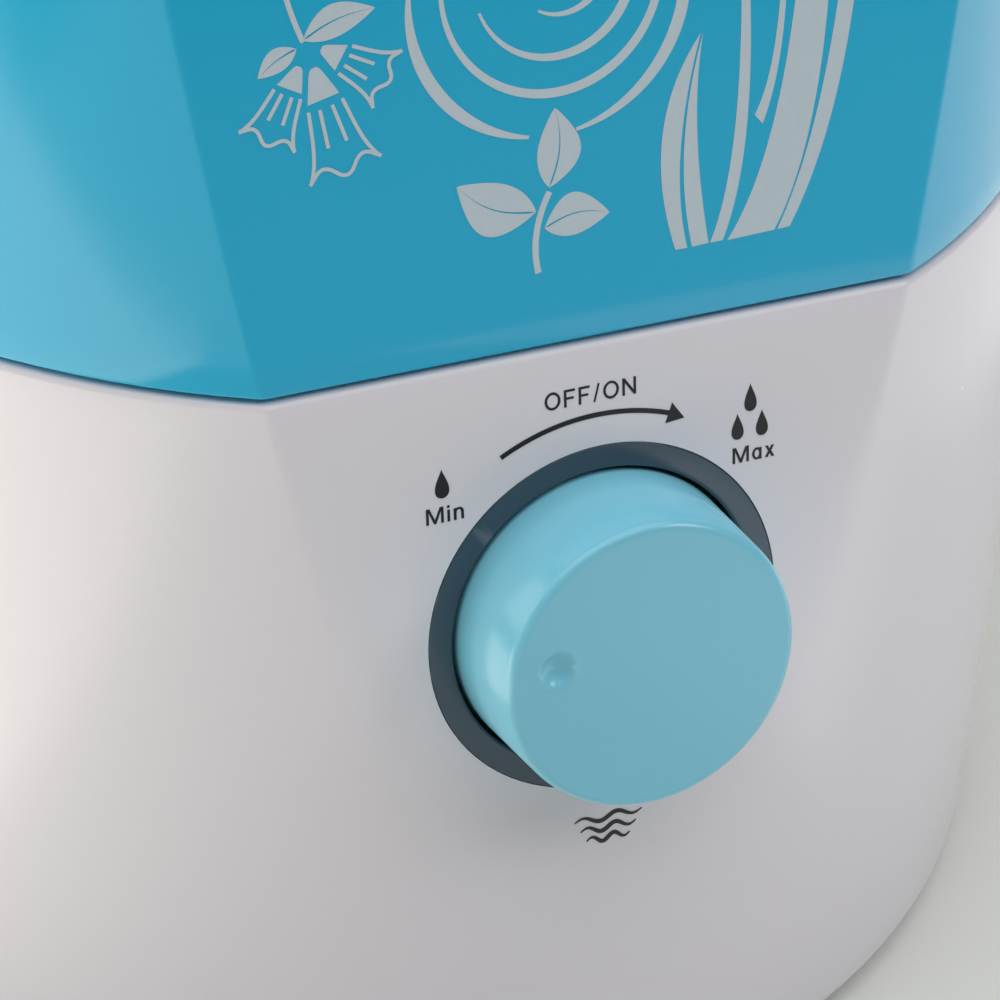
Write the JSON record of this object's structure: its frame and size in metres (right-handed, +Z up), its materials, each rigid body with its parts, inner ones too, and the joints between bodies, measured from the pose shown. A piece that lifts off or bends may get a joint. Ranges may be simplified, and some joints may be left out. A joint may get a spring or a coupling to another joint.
{
  "type": "cool mist humidifier",
  "caption": "Ultrasonic cool mist humidifier: round white base with a flat leaning front and a mist dial, lift-off tapered blue water tank with a turning mist nozzle.",
  "frame": {"origin": "on the table plane under the vertical axis of the body, the middle of the footprint", "axes": "+Z up, -Y towards the front with the dial, +X to the right as seen from the front"},
  "size_m": [0.1904, 0.2091, 0.3156],
  "materials": {
    "white_housing": "glossy moulded white plastic with a faint lilac cast",
    "blue_tank": "glossy moulded turquoise plastic",
    "pale_blue_knob": "glossy moulded pale turquoise plastic",
    "smoked_ring": "smoked dark grey glossy lens",
    "grey_plastic": "fine matt moulded grey plastic",
    "black_plastic": "matt black moulded plastic",
    "rubber": "matt dark rubber",
    "float_plastic": "milky translucent plastic",
    "circuit_board": "green glass-fibre board with a satin mask",
    "steel": "bright zinc-plated steel",
    "brass": "plain brass",
    "aluminium": "extruded mill-finish aluminium"
  },
  "bodies": {
    "root": {"base_shell": "white_housing", "reservoir_deck": "white_housing", "float_retainer": "white_housing", "cord_gland": "white_housing", "dial_ring": "smoked_ring", "bottom_cover": "grey_plastic", "potentiometer": "grey_plastic", "air_duct": "grey_plastic", "gland_nut": "grey_plastic", "fan_housing": "black_plastic", "deck_seal": "rubber", "rubber_foot_1": "rubber", "rubber_foot_2": "rubber", "rubber_foot_3": "rubber", "rubber_foot_4": "rubber", "transducer_seal": "rubber", "transducer_lead": "rubber", "fan_lead": "rubber", "dial_lead": "rubber", "dial_light_board": "circuit_board", "level_switch": "circuit_board", "driver_board": "circuit_board", "power_board": "circuit_board", "bottom_screw_1": "steel", "bottom_screw_2": "steel", "bottom_screw_3": "steel", "bottom_screw_4": "steel", "potentiometer_nut": "steel", "transducer_clamp": "steel", "clamp_screw_1": "steel", "clamp_screw_2": "steel", "clamp_screw_3": "steel", "fan_screw_1": "steel", "fan_screw_2": "steel", "board_screw_1": "steel", "board_screw_2": "steel", "board_screw_3": "steel", "board_screw_4": "steel", "transformer": "steel", "transducer_disc": "brass", "heat_sink": "aluminium"},
    "knob": {"knob": "pale_blue_knob", "knob_shaft": "brass"},
    "fan": {"fan_rotor": "black_plastic"},
    "float": {"float": "float_plastic", "float_magnet": "steel"},
    "tank": {"tank_shell": "blue_tank", "tank_floor": "blue_tank", "mist_tube": "blue_tank", "tube_seal_bottom": "rubber", "tube_seal_top": "rubber"},
    "cap": {"tank_cap": "white_housing", "cap_gasket": "rubber", "valve_guide": "white_housing", "valve_spring": "steel"},
    "valve": {"valve_plunger": "white_housing", "valve_seal": "rubber"},
    "nozzle": {"nozzle_collar": "white_housing"},
    "spout": {"nozzle_spout": "white_housing"}
  },
  "joints": [
    {"name": "knob_turn", "type": "hinge", "parent": "root", "child": "knob", "pos_m": [0, -0.0888, 0.0816], "axis": [0, 0.9821, -0.1882], "range_deg": [0, 123]},
    {"name": "fan_spin", "type": "hinge", "parent": "root", "child": "fan", "pos_m": [0.042, 0.006, 0.015], "axis": [0, 0, 1], "continuous": true},
    {"name": "float_rise", "type": "slide", "parent": "root", "child": "float", "axis": [0, 0, 1], "range_m": [0, 0.008]},
    {"name": "tank_lift", "type": "slide", "parent": "root", "child": "tank", "axis": [0, 0, 1], "range_m": [0, 0.06]},
    {"name": "cap_unscrew", "type": "hinge", "parent": "tank", "child": "cap", "pos_m": [-0.0375, 0.008, 0.112], "axis": [0, 0, -1], "range_deg": [0, 270]},
    {"name": "valve_push", "type": "slide", "parent": "cap", "child": "valve", "axis": [0, 0, 1], "range_m": [0, 0.004], "stiffness_N_per_m": 300, "springref_m": -0.003, "deforming": ["valve_spring"]},
    {"name": "nozzle_lift", "type": "slide", "parent": "tank", "child": "nozzle", "axis": [0, 0, 1], "range_m": [0, 0.03]},
    {"name": "nozzle_turn", "type": "hinge", "parent": "nozzle", "child": "spout", "pos_m": [0, 0, 0.286], "axis": [0, 0, 1], "continuous": true}
  ]
}
